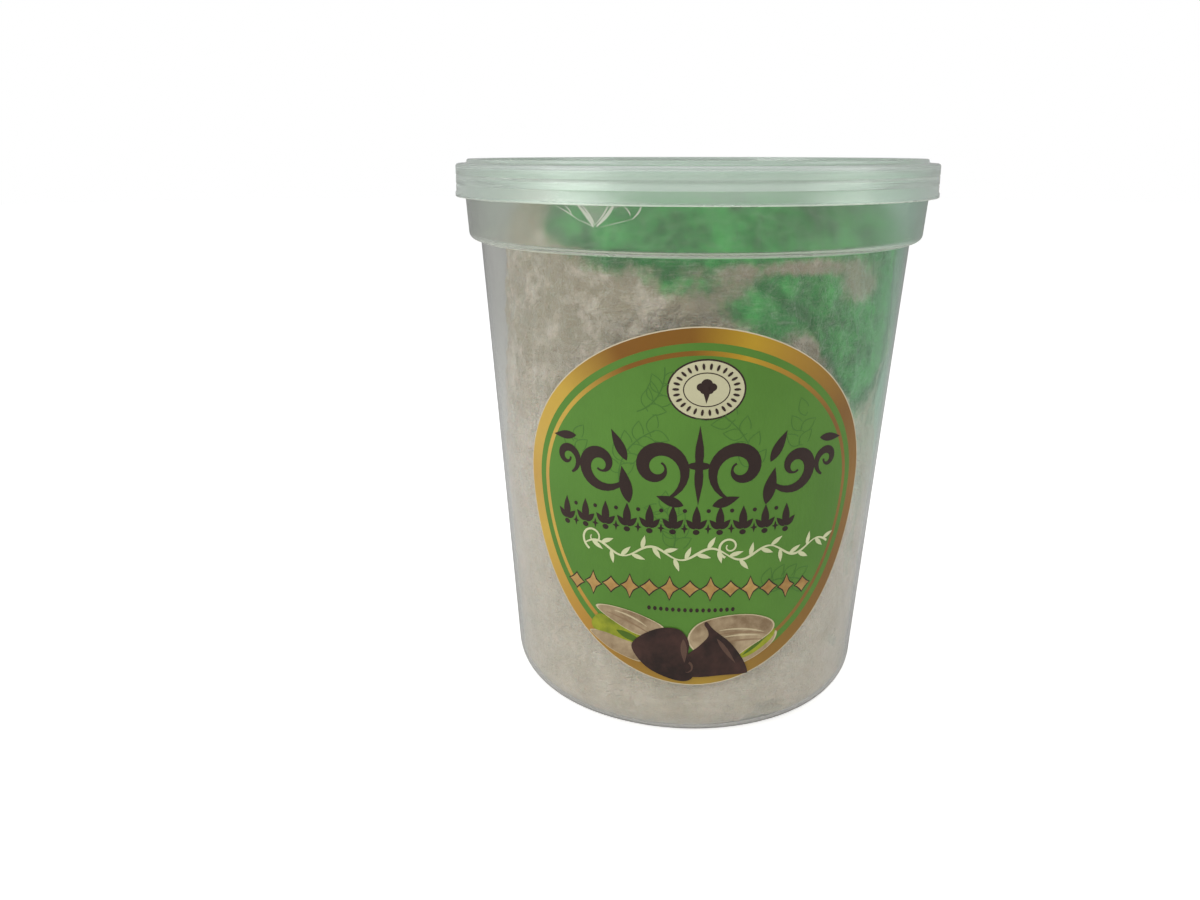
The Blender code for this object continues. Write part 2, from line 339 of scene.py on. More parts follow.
def make_mottle_group():
    """Soft uneven tone: one cloudy value round a half, from two sizes of noise."""
    group, start, end = new_group(
        "Mottle",
        [("Vector", "NodeSocketVector"), ("Scale", "NodeSocketFloat"), ("Amount", "NodeSocketFloat")],
        [("Tone", "NodeSocketFloat")],
    )
    coarse = noise_node(group, start.outputs["Vector"], start.outputs["Scale"], 2.0, 0.5)
    fine_scale = math_node(group, "MULTIPLY", start.outputs["Scale"], 4.3)
    fine = noise_node(group, start.outputs["Vector"], fine_scale, 3.0, 0.6)
    both = math_node(group, "ADD", coarse, math_node(group, "MULTIPLY", fine, 0.6))
    centred = math_node(group, "SUBTRACT", both, 0.8)
    scaled = math_node(group, "MULTIPLY", centred, start.outputs["Amount"])
    tone = math_node(group, "ADD", scaled, 0.5, clamp=True)
    group.links.new(tone, end.inputs["Tone"])
    return group


def make_fibre_group():
    """Fine spun threads: noise drawn out along two crossing directions."""
    group, start, end = new_group(
        "Fibres",
        [("Vector", "NodeSocketVector"), ("Scale", "NodeSocketFloat")],
        [("Mask", "NodeSocketFloat")],
    )
    strands = []
    for turn, stretch in (((0.3, 0.9, 0.2), (0.15, 0.30, 1.0)), ((-0.4, -0.7, 0.5), (0.18, 0.25, 1.0))):
        mapping = group.nodes.new("ShaderNodeMapping")
        mapping.inputs["Rotation"].default_value = turn
        mapping.inputs["Scale"].default_value = stretch
        group.links.new(start.outputs["Vector"], mapping.inputs["Vector"])
        strands.append(noise_node(group, mapping.outputs["Vector"], start.outputs["Scale"], 2.0, 0.55, 0.6))
    mask = math_node(group, "MAXIMUM", strands[0], strands[1])
    group.links.new(mask, end.inputs["Mask"])
    return group


def make_sugar_group():
    """Colour of spun sugar: green and white meet at a frayed edge, with clouds, painted crease shading and
    threads, painted shade on the white towards the top and a painted shadow on the green just above the
    border.
    """
    group, start, end = new_group(
        "Sugar",
        [
            ("Vector", "NodeSocketVector"),
            ("Greenness", "NodeSocketFloat"),
            ("Seam", "NodeSocketFloat"),
            ("White", "NodeSocketColor"),
            ("White Shade", "NodeSocketColor"),
            ("Green", "NodeSocketColor"),
            ("Green Shade", "NodeSocketColor"),
        ],
        [("Color", "NodeSocketColor"), ("Threads", "NodeSocketFloat")],
    )
    vector = start.outputs["Vector"]
    split = group.nodes.new("ShaderNodeSeparateXYZ")
    group.links.new(vector, split.inputs[0])
    # Painted shade: towards the top, under the lid, the white is drawn towards its shaded tone and its clouds
    # and creases swing more.
    painted_top_shade = ramp(group, split.outputs["Z"], 58 * MM, 110 * MM)
    clouds = use_group(group, MOTTLE, Vector=vector, Scale=120.0, Amount=2.1)
    swing = math_node(group, "ADD", math_node(group, "MULTIPLY", painted_top_shade, 0.65), 0.30)
    shaded = math_node(group, "MULTIPLY", math_node(group, "SUBTRACT", clouds, 0.5), swing)
    # Painted light and shade of fine creases: a fine mottle that lightens and darkens the white, more
    # strongly towards the top.
    creases = use_group(group, MOTTLE, Vector=vector, Scale=400.0, Amount=2.4)
    crease_shade_swing = math_node(group, "ADD", math_node(group, "MULTIPLY", painted_top_shade, 0.34), 0.08)
    painted_crease_shade = math_node(group, "MULTIPLY", math_node(group, "SUBTRACT", creases, 0.5), crease_shade_swing)
    level = math_node(group, "SUBTRACT", 0.58, math_node(group, "MULTIPLY", painted_top_shade, 0.56))
    white_tone = math_node(group, "ADD", math_node(group, "ADD", shaded, painted_crease_shade), level, clamp=True)
    threads = use_group(group, FIBRES, Vector=vector, Scale=1500.0)
    white = mix_colours(group, white_tone, start.outputs["White Shade"], start.outputs["White"])
    green = mix_colours(group, clouds, start.outputs["Green Shade"], start.outputs["Green"])
    frayed = start.outputs["Greenness"]
    for scale, depth in ((150.0, 1.7), (600.0, 0.8)):
        ragged = math_node(group, "SUBTRACT", noise_node(group, vector, scale, 3.0, 0.6), 0.5)
        frayed = math_node(group, "ADD", frayed, math_node(group, "MULTIPLY", ragged, depth))
    # Painted shadow: just above the border the green is darkened towards its shaded tone, where it overhangs
    # the white.
    off_seam = math_node(group, "ABSOLUTE", math_node(group, "SUBTRACT", start.outputs["Seam"], 0.4))
    painted_overhang_shadow = math_node(group, "MULTIPLY", ramp(group, off_seam, 1.1, 0.1), 0.75)
    green = mix_colours(group, painted_overhang_shadow, green, start.outputs["Green Shade"])
    colour = mix_colours(group, ramp(group, frayed, -0.85, 0.85), white, green)
    glow = math_node(group, "MULTIPLY", ramp(group, threads, 0.52, 0.80), 0.14)
    colour = mix_colours(group, glow, colour, paint(240, 238, 230), "SCREEN")
    group.links.new(colour, end.inputs["Color"])
    group.links.new(threads, end.inputs["Threads"])
    return group


MOTTLE = make_mottle_group()
FIBRES = make_fibre_group()


def use_group(tree, group, **values):
    """Places a group node. Numbers set its inputs, and sockets are linked to them."""
    node = tree.nodes.new("ShaderNodeGroup")
    node.node_tree = group
    for key, value in values.items():
        socket = node.inputs[key.replace("_", " ")]
        if isinstance(value, bpy.types.NodeSocket):
            tree.links.new(value, socket)
        else:
            socket.default_value = value
    return node.outputs[0]


def new_material(name, **settings):
    """A material with a Principled shader whose plain values are set by name. Gives both and its tree."""
    material = bpy.data.materials.new(name)
    material.use_nodes = True
    tree = material.node_tree
    shader = tree.nodes["Principled BSDF"]
    for key, value in settings.items():
        shader.inputs[key.replace("_", " ")].default_value = value
    return material, tree, shader


def object_vector(tree):
    return tree.nodes.new("ShaderNodeTexCoord").outputs["Object"]


def add_bump(tree, shader, height, strength, distance):
    bump = tree.nodes.new("ShaderNodeBump")
    bump.inputs["Strength"].default_value = strength
    bump.inputs["Distance"].default_value = distance
    tree.links.new(height, bump.inputs["Height"])
    tree.links.new(bump.outputs["Normal"], shader.inputs["Normal"])


def let_lamps_through(tree, shader, tint):
    """Rays from lamps and soft light pass the plastic straight, so that what it holds is lit."""
    path = tree.nodes.new("ShaderNodeLightPath")
    passing = math_node(tree, "MAXIMUM", path.outputs["Is Shadow Ray"], path.outputs["Is Diffuse Ray"])
    clear = tree.nodes.new("ShaderNodeBsdfTransparent")
    clear.inputs["Color"].default_value = tint
    mix = tree.nodes.new("ShaderNodeMixShader")
    tree.links.new(passing, mix.inputs[0])
    tree.links.new(shader.outputs[0], mix.inputs[1])
    tree.links.new(clear.outputs[0], mix.inputs[2])
    tree.links.new(mix.outputs[0], tree.nodes["Material Output"].inputs["Surface"])


def make_plastic(name, colour, transmission, roughness, grain, tint, painted_floss_green=None):
    """Moulded polypropylene: nearly clear or milky by its transmission, with a faintly uneven skin.

    On the upper right its colour is painted towards a given green, which stands in for the green floss seen
    through it close behind; the plastic itself has no colour there.
    """
    material, tree, shader = new_material(
        name,
        Transmission_Weight=transmission,
        IOR=1.42,
        Specular_IOR_Level=0.5,
    )
    vector = object_vector(tree)
    tone = use_group(tree, MOTTLE, Vector=vector, Scale=90.0, Amount=0.8)
    base = mix_colours(tree, tone, paint(*colour[0]), paint(*colour[1]))
    # Painted green towards the upper right, standing in for the green floss seen through the wall; the
    # plastic itself is uncoloured there.
    if painted_floss_green:
        split = tree.nodes.new("ShaderNodeSeparateXYZ")
        tree.links.new(vector, split.inputs[0])
        beside = ramp(tree, split.outputs["X"], 24 * MM, 54 * MM)
        above = ramp(tree, split.outputs["Z"], 44 * MM, 86 * MM)
        base = mix_colours(tree, math_node(tree, "MULTIPLY", beside, above), base, paint(*painted_floss_green))
    tree.links.new(base, shader.inputs["Base Color"])
    uneven = math_node(tree, "MULTIPLY", math_node(tree, "SUBTRACT", tone, 0.5), 0.06)
    tree.links.new(math_node(tree, "ADD", uneven, roughness, clamp=True), shader.inputs["Roughness"])
    add_bump(tree, shader, use_group(tree, MOTTLE, Vector=vector, Scale=240.0, Amount=1.0), grain, 0.05 * MM)
    let_lamps_through(tree, shader, tint)
    return material


def make_floss_material(name, light, dark):
    """Spun sugar, matt and a little see-through; light and dark are the lit and shaded tones of its white and
    its green.
    """
    material, tree, shader = new_material(
        name,
        Roughness=0.95,
        Subsurface_Weight=0.15,
        Subsurface_Scale=2.0 * MM,
        Sheen_Weight=0.36,
        Sheen_Roughness=0.42,
        Specular_IOR_Level=0.15,
    )
    inputs = {}
    for label in ("greenness", "seam"):
        attribute = tree.nodes.new("ShaderNodeAttribute")
        attribute.attribute_name = label
        inputs[label.capitalize()] = attribute.outputs["Fac"]
    sugar = tree.nodes.new("ShaderNodeGroup")
    sugar.node_tree = SUGAR
    tree.links.new(object_vector(tree), sugar.inputs["Vector"])
    for label, source in inputs.items():
        tree.links.new(source, sugar.inputs[label])
    for label, tones in (("White", (light[0], dark[0])), ("Green", (light[1], dark[1]))):
        sugar.inputs[label].default_value = paint(*tones[0])
        sugar.inputs[label + " Shade"].default_value = paint(*tones[1])
    tree.links.new(sugar.outputs["Color"], shader.inputs["Base Color"])
    crumple = use_group(tree, MOTTLE, Vector=object_vector(tree), Scale=420.0, Amount=1.8)
    lumps = math_node(tree, "MULTIPLY", crumple, 0.8)
    threads = math_node(tree, "MULTIPLY", sugar.outputs["Threads"], 0.5)
    add_bump(tree, shader, math_node(tree, "ADD", lumps, threads), 0.95, 0.9 * MM)
    return material


def make_film_material(name, veil, glint):
    """Thin clear film: a faint veil face on, a glint where it is creased, and a painted green on the right
    that stands in for the green floss behind it.
    """
    material, tree, shader = new_material(name, Roughness=0.12)
    split = tree.nodes.new("ShaderNodeSeparateXYZ")
    tree.links.new(object_vector(tree), split.inputs[0])
    # Painted green towards the right, standing in for the green floss seen through the film.
    painted_green_share = ramp(tree, split.outputs["X"], 5 * MM, 44 * MM)
    colour = mix_colours(tree, painted_green_share, paint(214, 214, 204), paint(150, 196, 168))
    tree.links.new(colour, shader.inputs["Base Color"])
    facing = tree.nodes.new("ShaderNodeLayerWeight")
    facing.inputs["Blend"].default_value = 0.30
    turned_away = math_node(tree, "POWER", facing.outputs["Facing"], 2.0)
    share = math_node(tree, "ADD", math_node(tree, "MULTIPLY", turned_away, glint), veil, clamp=True)
    path = tree.nodes.new("ShaderNodeLightPath")
    passing = math_node(tree, "MAXIMUM", path.outputs["Is Shadow Ray"], path.outputs["Is Diffuse Ray"])
    kept = math_node(tree, "MULTIPLY", share, math_node(tree, "SUBTRACT", 1.0, passing))
    clear = tree.nodes.new("ShaderNodeBsdfTransparent")
    mix = tree.nodes.new("ShaderNodeMixShader")
    tree.links.new(kept, mix.inputs[0])
    tree.links.new(clear.outputs[0], mix.inputs[1])
    tree.links.new(shader.outputs[0], mix.inputs[2])
    tree.links.new(mix.outputs[0], tree.nodes["Material Output"].inputs["Surface"])
    return material


def make_ink(name, light, dark, scale=60.0, amount=1.2, roughness=0.42):
    """Printed ink on a semi-gloss sticker: two close tones in soft clouds."""
    material, tree, shader = new_material(name, Specular_IOR_Level=0.30)
    vector = object_vector(tree)
    tone = use_group(tree, MOTTLE, Vector=vector, Scale=scale, Amount=amount)
    tree.links.new(mix_colours(tree, tone, paint(*dark), paint(*light)), shader.inputs["Base Color"])
    uneven = math_node(tree, "MULTIPLY", math_node(tree, "SUBTRACT", tone, 0.5), 0.1)
    tree.links.new(math_node(tree, "ADD", uneven, roughness), shader.inputs["Roughness"])
    return material


def make_gold():
    """Gold print whose tone runs from brown to bright several times round the label's border."""
    material, tree, shader = new_material("gold_print", Specular_IOR_Level=0.35)
    vector = object_vector(tree)
    split = tree.nodes.new("ShaderNodeSeparateXYZ")
    tree.links.new(vector, split.inputs[0])
    level = math_node(tree, "SUBTRACT", split.outputs["Z"], LABEL_WIDEST_HEIGHT)
    across = math_node(tree, "SUBTRACT", split.outputs["X"], BODY_TOP_RADIUS * math.sin(LABEL_TURN))
    turn = math_node(tree, "ARCTAN2", level, across)
    share = math_node(tree, "ADD", math_node(tree, "DIVIDE", turn, FULL_TURN), 0.5)
    tones = tree.nodes.new("ShaderNodeValToRGB")
    stops = (
        (0.00, (188, 150, 72)), (0.06, (196, 162, 66)), (0.14, (176, 132, 50)), (0.20, (150, 112, 40)),
        (0.26, (166, 134, 46)), (0.31, (144, 108, 42)), (0.40, (126, 88, 32)), (0.50, (140, 100, 38)),
        (0.58, (126, 88, 32)), (0.66, (164, 124, 36)), (0.705, (180, 144, 30)), (0.76, (126, 84, 14)),
        (0.83, (124, 80, 10)), (0.90, (192, 158, 60)), (0.96, (196, 162, 72)), (1.00, (188, 150, 72)),
    )
    ramp_stops = tones.color_ramp.elements
    while len(ramp_stops) < len(stops):
        ramp_stops.new(0.5)
    for stop, (place, colour) in zip(ramp_stops, stops):
        stop.position = place
        stop.color = paint(*colour)
    tree.links.new(share, tones.inputs["Fac"])
    grain = use_group(tree, MOTTLE, Vector=vector, Scale=900.0, Amount=0.7)
    grain = math_node(tree, "MULTIPLY", grain, 0.12)
    colour = mix_colours(tree, grain, tones.outputs["Color"], paint(90, 60, 20))
    tree.links.new(colour, shader.inputs["Base Color"])
    shader.inputs["Roughness"].default_value = 0.38
    return material


# The last colour given to the clear and the frosted plastic is a painted green that stands in for the floss
# seen through them on the upper right.
TUB_PLASTIC = make_plastic(
    "clear_plastic", ((252, 252, 249), (247, 248, 244)), 1.0, 0.035, 0.05,
    (0.95, 0.95, 0.94, 1.0), (200, 240, 218),
)
COLLAR_PLASTIC = make_plastic(
    "frosted_plastic", ((248, 251, 246), (242, 247, 240)), 0.985, 0.20, 0.08,
    (0.92, 0.93, 0.91, 1.0), (232, 254, 242),
)
LID_PLASTIC = make_plastic(
    "milky_plastic", ((243, 251, 246), (233, 245, 238)), 0.87, 0.22, 0.10, (0.86, 0.88, 0.85, 1.0)
)
BRIGHT_EDGE = make_plastic(
    "edge_plastic", ((244, 248, 238), (234, 240, 228)), 0.62, 0.28, 0.10, (0.90, 0.92, 0.90, 1.0)
)
FILM = make_film_material("clear_film", 0.010, 0.30)
FOLDED_FILM = make_film_material("folded_film", 0.14, 0.80)
FOLD_GLINT = make_film_material("fold_glint", 0.62, 0.38)
SUGAR = make_sugar_group()
# Lit and shaded tones of the white and the green floss: the clouds mix them, and the shaded ones carry the
# painted shade at the top and the painted shadow along the border.
SUGAR_LIGHT = ((223, 214, 202), (82, 182, 94))
SUGAR_DARK = ((160, 152, 132), (38, 108, 50))
WHITE_FLOSS = make_floss_material("white_floss", SUGAR_LIGHT, SUGAR_DARK)
GREEN_FLOSS = make_floss_material("green_floss", SUGAR_LIGHT, SUGAR_DARK)
GOLD = make_gold()
LABEL_GREEN = make_ink("green_print", (86, 132, 48), (75, 117, 40), 26.0, 1.4)
LEAF_GREEN = make_ink("leaf_line_print", (72, 116, 44), (64, 106, 40))
DARK_BROWN = make_ink("dark_brown_print", (54, 36, 30), (38, 25, 21), 40.0)
CREAM = make_ink("cream_print", (206, 208, 168), (192, 196, 152))
BADGE_CREAM = make_ink("badge_print", (196, 192, 158), (184, 180, 146))
STICKER_PAPER = make_ink("sticker_edge", (206, 196, 170), (190, 178, 150))
LOZENGE_GOLD = make_ink("lozenge_print", (182, 148, 88), (146, 106, 56), 150.0, 2.0)
SHELL = make_ink("nut_shell_print", (178, 158, 126), (126, 104, 76), 120.0, 2.2)
KERNEL = make_ink("nut_kernel_print", (158, 162, 40), (104, 118, 26), 120.0, 2.2)
CHOCOLATE = make_ink("chocolate_print", (66, 42, 36), (38, 25, 21), 110.0, 2.6, 0.36)
CHOCOLATE_LIGHT = make_ink("chocolate_light_print", (98, 74, 60), (76, 54, 46), 110.0)
SHELL_LIGHT = make_ink("nut_shell_light_print", (206, 192, 158), (180, 164, 130), 120.0)
SHELL_SHADE = make_ink("nut_shell_shade_print", (146, 122, 94), (128, 104, 76), 120.0)
KERNEL_SHADE = make_ink("nut_kernel_shade_print", (84, 110, 24), (62, 92, 22), 120.0)


# ---------------------------------------------------------------------------------------------------------
# Tub and lid
# ---------------------------------------------------------------------------------------------------------


def body_radius(height):
    rise = (height - BASE_CORNER) / (LEDGE_HEIGHT - BASE_CORNER)
    return BASE_RADIUS + (BODY_TOP_RADIUS - BASE_RADIUS) * rise


def tub_outline():
    """Outer face of the tub, from the middle of its recessed base to the neck under its rim."""
    corner_centre = BASE_RADIUS - BASE_CORNER
    taper = math.degrees(math.atan((BODY_TOP_RADIUS - BASE_RADIUS) / (LEDGE_HEIGHT - BASE_CORNER)))
    foot_rise = 1.2 * MM
    foot_inner = corner_centre - 1.8 * MM
    gate = 2.2 * MM
    outline = [(0.0, foot_rise - 0.4 * MM), (gate * 0.7, foot_rise - 0.4 * MM), (gate, foot_rise)]
    outline += [(20 * MM, foot_rise), (foot_inner - foot_rise, foot_rise)]
    outline += arc(foot_inner, 0.5 * MM, 0.5 * MM, -150, -90, 4)
    outline += arc(corner_centre, BASE_CORNER, BASE_CORNER, -90, -taper, 20)
    for height in (40 * MM, 70 * MM, 100 * MM):
        outline.append((body_radius(height), height))
    fillet = 0.5 * MM
    outline += arc(BODY_TOP_RADIUS + fillet, LEDGE_HEIGHT - fillet, fillet, 180 - taper, 90, 4)
    outline += arc(
        COLLAR_RADIUS - COLLAR_CORNER, LEDGE_HEIGHT + COLLAR_CORNER, COLLAR_CORNER, -90, -taper, 10
    )
    outline.append((RIM_NECK_RADIUS, RIM_HEIGHT - RIM_FLANGE))
    return outline


def make_tub():
    outer = tub_outline()
    inner = inset(outer, WALL)
    bead = 0.5 * MM
    neck = inner[-1][0]
    flange = arc(RIM_RADIUS - bead, RIM_HEIGHT - RIM_FLANGE + bead, bead, -90, 0, 4)
    flange += arc(RIM_RADIUS - bead, RIM_HEIGHT - bead, bead, 0, 90, 4)
    flange += arc(neck + 0.3 * MM, RIM_HEIGHT - 0.3 * MM, 0.3 * MM, 90, 180, 3)
    piece = turned(outer + flange + inner[::-1])
    smooth(piece, 50)
    hand_over(piece, "clear_tub", (TUB_PLASTIC, COLLAR_PLASTIC, BRIGHT_EDGE), "tub_plastic", "tub")
    for face in piece.data.polygons:
        height = face.center.z
        if height > LEDGE_HEIGHT + 0.35 * MM:
            face.material_index = 1
        elif height > LEDGE_HEIGHT - 0.15 * MM:
            face.material_index = 2
    return piece


def make_lid():
    """Grooved skirt over the rim, shoulder, stacking ring, plug wall and sunk panel with ring beads."""
    edge = 0.35 * MM
    skirt_inner = LID_RADIUS - WALL
    shoulder_under = SHOULDER_HEIGHT - WALL
    panel_under = PANEL_HEIGHT - WALL
    plug = RING_OUTER_RADIUS - 0.3 * MM
    lip = 0.35 * MM
    under = [(0.0, panel_under), (30 * MM, panel_under), (plug - edge, panel_under)]
    under += arc(plug - edge, panel_under + edge, edge, -90, 0, 3)
    under += [(plug, shoulder_under), (skirt_inner - edge, shoulder_under)]
    under += arc(skirt_inner - edge, shoulder_under - edge, edge, 90, 0, 3)
    # A low snap bead runs round inside the skirt, below the tub's flange.
    bead_height = RIM_HEIGHT - RIM_FLANGE - 0.8 * MM
    under += arc(skirt_inner + 0.1 * MM, bead_height, 0.45 * MM, 120, 240, 5)
    under += [(skirt_inner, SKIRT_BOTTOM + lip), (skirt_inner + 0.15 * MM, SKIRT_BOTTOM)]
    over = [(LID_RADIUS - 0.15 * MM, SKIRT_BOTTOM), (LID_RADIUS, SKIRT_BOTTOM + 0.15 * MM)]
    side = LID_RADIUS - SKIRT_STEP
    over += [(LID_RADIUS, SKIRT_BOTTOM + 1.0 * MM), (side, SKIRT_BOTTOM + 1.3 * MM)]
    for rise in SKIRT_GROOVES:
        groove = SKIRT_BOTTOM + rise
        over += [(side, groove - GROOVE_DEPTH), (side - GROOVE_DEPTH, groove), (side, groove + GROOVE_DEPTH)]
    over += arc(side - 2 * edge, SHOULDER_HEIGHT - 2 * edge, 2 * edge, 0, 90, 6)
    over += [(RING_OUTER_RADIUS + edge, SHOULDER_HEIGHT), (RING_OUTER_RADIUS, SHOULDER_HEIGHT + edge)]
    over += arc(RING_OUTER_RADIUS - edge, LID_TOP - edge, edge, 0, 90, 3)
    over += arc(RING_INNER_RADIUS + edge, LID_TOP - edge, edge, 90, 180, 3)
    over += arc(RING_INNER_RADIUS - 3 * edge, PANEL_HEIGHT + 2 * edge, 2 * edge, 0, -90, 4)
    for ring_radius in (46 * MM, 20 * MM):
        over += arc(ring_radius, PANEL_HEIGHT, 0.6 * MM, 0, 180, 6)
    over += [(3.0 * MM, PANEL_HEIGHT), (2.6 * MM, PANEL_HEIGHT - 0.3 * MM), (0.0, PANEL_HEIGHT - 0.3 * MM)]
    piece = turned(under + over)
    smooth(piece, 50)
    hand_over(piece, "milky_lid", (LID_PLASTIC, BRIGHT_EDGE), "lid_plastic", "lid")
    for face in piece.data.polygons:
        if face.center.z < SKIRT_BOTTOM + 0.4 * MM:
            face.material_index = 1
    return piece


# ---------------------------------------------------------------------------------------------------------
# Floss and film
# ---------------------------------------------------------------------------------------------------------


def floss_outline(spread):
    """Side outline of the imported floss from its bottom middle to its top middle, spread outwards."""
    low_r = BASE_RADIUS - BASE_CORNER
    low_round = BASE_CORNER - WALL - 0.5 * MM
    high_r = FLOSS_TOP_RADIUS - FLOSS_TOP_ROUND
    high_z = FLOSS_TOP - FLOSS_TOP_ROUND
    base_r = low_r + low_round
    outline = [(0.0, FLOSS_BOTTOM), (low_r * 0.35, FLOSS_BOTTOM), (low_r * 0.7, FLOSS_BOTTOM)]
    outline += arc(low_r, BASE_CORNER, low_round + spread, -60, 0, 4)
    steps = 6
    for i in range(1, steps):
        part = i / steps
        outline.append((
            base_r + (FLOSS_WIDEST_RADIUS - base_r) * part + spread,
            BASE_CORNER + (FLOSS_WIDEST_HEIGHT - BASE_CORNER) * part,
        ))
    outline.append((FLOSS_WIDEST_RADIUS + spread, FLOSS_WIDEST_HEIGHT))
    for i in range(1, steps):
        part = i / steps
        outline.append((
            FLOSS_WIDEST_RADIUS + (FLOSS_TOP_RADIUS - FLOSS_WIDEST_RADIUS) * part + spread,
            FLOSS_WIDEST_HEIGHT + (high_z - FLOSS_WIDEST_HEIGHT) * part,
        ))
    outline += arc(high_r, high_z, FLOSS_TOP_ROUND + spread, 0, 90, 3)
    outline += [(high_r * 0.7, FLOSS_TOP + spread), (high_r * 0.35, FLOSS_TOP + spread)]
    outline.append((0.0, FLOSS_TOP + spread))
    return outline


def inner_radius(height):
    """Inner radius of the tub at a height, round its base corner and up its wall."""
    if height < BASE_CORNER:
        drop = min(BASE_CORNER - height, BASE_CORNER - WALL)
        return BASE_RADIUS - BASE_CORNER + math.sqrt((BASE_CORNER - WALL) ** 2 - drop * drop)
    if height < LEDGE_HEIGHT:
        return body_radius(height) - WALL
    return COLLAR_RADIUS - WALL


def lean_right(piece):
    """Lets the upper floss lean out against the wall on the right."""
    for vertex in piece.data.vertices:
        x, y, z = vertex.co
        radius = math.hypot(x, y)
        off_turn = (math.degrees(math.atan2(x, -y)) - LEAN_TURN) / LEAN_SPREAD
        rise = min(1.0, max(0.0, (z - LEAN_START) / LEAN_RISE))
        if radius > 20 * MM:
            moved = radius + LEAN_REACH * math.exp(-off_turn * off_turn) * rise
            vertex.co = (x * moved / radius, y * moved / radius, z)


def press_inside(piece, gap):
    """Flattens the piece where it would reach the tub's wall, a gap short of it."""
    for vertex in piece.data.vertices:
        x, y, z = vertex.co
        radius = math.hypot(x, y)
        limit = inner_radius(z) - gap
        if radius > limit:
            vertex.co = (x * limit / radius, y * limit / radius, z)


def cloud_texture(name, size, depth, hard):
    texture = bpy.data.textures.new(name, "CLOUDS")
    texture.noise_scale = size
    texture.noise_depth = depth
    texture.noise_type = "HARD_NOISE" if hard else "SOFT_NOISE"
    return texture


def border_height(x, y):
    height = BORDER_LEVEL
    for turn, change, spread in BORDER_SWELLS:
        swell_x, swell_y = FLOSS_TOP_RADIUS * math.sin(turn), -FLOSS_TOP_RADIUS * math.cos(turn)
        away = math.hypot(x - swell_x, y - swell_y) / spread
        height += change * math.exp(-away * away)
    for size, depth in BORDER_RIPPLES:
        height += noise.noise(Vector((x, y, size)) / size) * depth
    return height


def record_colour(piece):
    """Notes on each point how green the floss is there, and how far it is above the border."""
    greenness = piece.data.attributes.new("greenness", "FLOAT", "POINT")
    seam = piece.data.attributes.new("seam", "FLOAT", "POINT")
    for vertex in piece.data.vertices:
        x, y, z = vertex.co
        above = (z - border_height(x, y)) / COLOUR_REACH
        level = max(-1.6, min(1.6, above))
        turn = math.degrees(math.atan2(x, -y))
        for patch_turn, patch_height, turn_reach, height_reach, push in WISPS:
            off_turn = ((turn - patch_turn + 180) % 360 - 180) / turn_reach
            off_height = (z / MM - patch_height) / height_reach
            level += push * math.exp(-off_turn * off_turn - off_height * off_height)
        greenness.data[vertex.index].value = level
        seam.data[vertex.index].value = above


def make_border_block():
    """A block over the whole floss whose underside is the wavy border between its colours."""
    pick_nothing()
    bpy.ops.mesh.primitive_grid_add(x_subdivisions=90, y_subdivisions=90, size=110 * MM)
    block = bpy.context.object
    bpy.ops.object.mode_set(mode="EDIT")
    bpy.ops.mesh.select_all(action="SELECT")
    bpy.ops.mesh.extrude_region_move(TRANSFORM_OT_translate={"value": (0, 0, 160 * MM)})
    bpy.ops.object.mode_set(mode="OBJECT")
    for vertex in block.data.vertices:
        if vertex.co.z < 1 * MM:
            vertex.co.z = border_height(vertex.co.x, vertex.co.y)
    face_outwards(block)
    return block


def make_floss_body(spread, textures):
    """A coarse turned plug, made smooth, then pushed in and out by clouds of several sizes."""
    piece = turned(floss_outline(spread), 44)
    settle(piece, "SUBSURF", levels=3, render_levels=3)
    for texture, depth in textures:
        settle(piece, "DISPLACE", texture=texture, strength=depth, mid_level=0.5)
    return piece


def part_floss(piece, operation):
    block = make_border_block()
    settle(piece, "BOOLEAN", operation=operation, solver="EXACT", object=block)
    bpy.data.objects.remove(block, do_unlink=True)


def make_floss():
    lumps = cloud_texture("floss_lumps", 17 * MM, 1, False)
    folds = cloud_texture("floss_folds", 9 * MM, 1, True)
    tufts = cloud_texture("floss_tufts", 2.6 * MM, 2, False)
    textures = ((lumps, 1.3 * MM), (folds, -1.9 * MM), (tufts, 1.1 * MM))
    for name, node, material, spread, side in (
        ("white_floss", "floss_white", WHITE_FLOSS, 0.35 * MM, "DIFFERENCE"),
        ("green_floss", "floss_green", GREEN_FLOSS, 0.2 * MM, "INTERSECT"),
    ):
        piece = make_floss_body(spread, textures)
        lean_right(piece)
        press_inside(piece, 0.30 * MM)
        part_floss(piece, side)
        record_colour(piece)
        smooth(piece, 80)
        hand_over(piece, name, (material,), name, node)


def pleat(turn, height):
    """How far the film stands out: upright pleats above the widest floss, and faint creases below it."""
    free = min(1.0, max(0.0, (height - 45 * MM) / (40 * MM)))
    waves = noise.noise(Vector((math.sin(turn) * 13, math.cos(turn) * 13, height * 9)))
    waves += 0.6 * noise.noise(Vector((math.sin(turn) * 31, math.cos(turn) * 31, height * 17 + 4)))
    creases = noise.noise(Vector((math.sin(turn) * 8, math.cos(turn) * 8, height * 170)))
    return (0.04 + 0.8 * free) * waves * MM + 0.16 * creases * MM + free * 0.6 * MM


def make_film():
    """The inner bag: a turned and pleated skin just outside the floss, and a folded flap at the front."""
    outline = floss_outline(0.1 * MM)[:-1]
    outline[-1] = (6.0 * MM, outline[-1][1])
    piece = turned(outline, 90)
    settle(piece, "SUBSURF", levels=2, render_levels=2)
    for vertex in piece.data.vertices:
        x, y, z = vertex.co
        radius = math.hypot(x, y)
        if radius > 1 * MM:
            side = min(1.0, radius / (30 * MM))
            moved = radius + pleat(math.atan2(y, x), z) * side
            vertex.co = (x * moved / radius, y * moved / radius, z)
    lean_right(piece)
    press_inside(piece, 0.12 * MM)
    settle(piece, "SOLIDIFY", thickness=0.03 * MM, offset=0.0)
    smooth(piece, 70)
    hand_over(piece, "inner_film", (FILM,), "bag_film", "bag")
    make_flap()


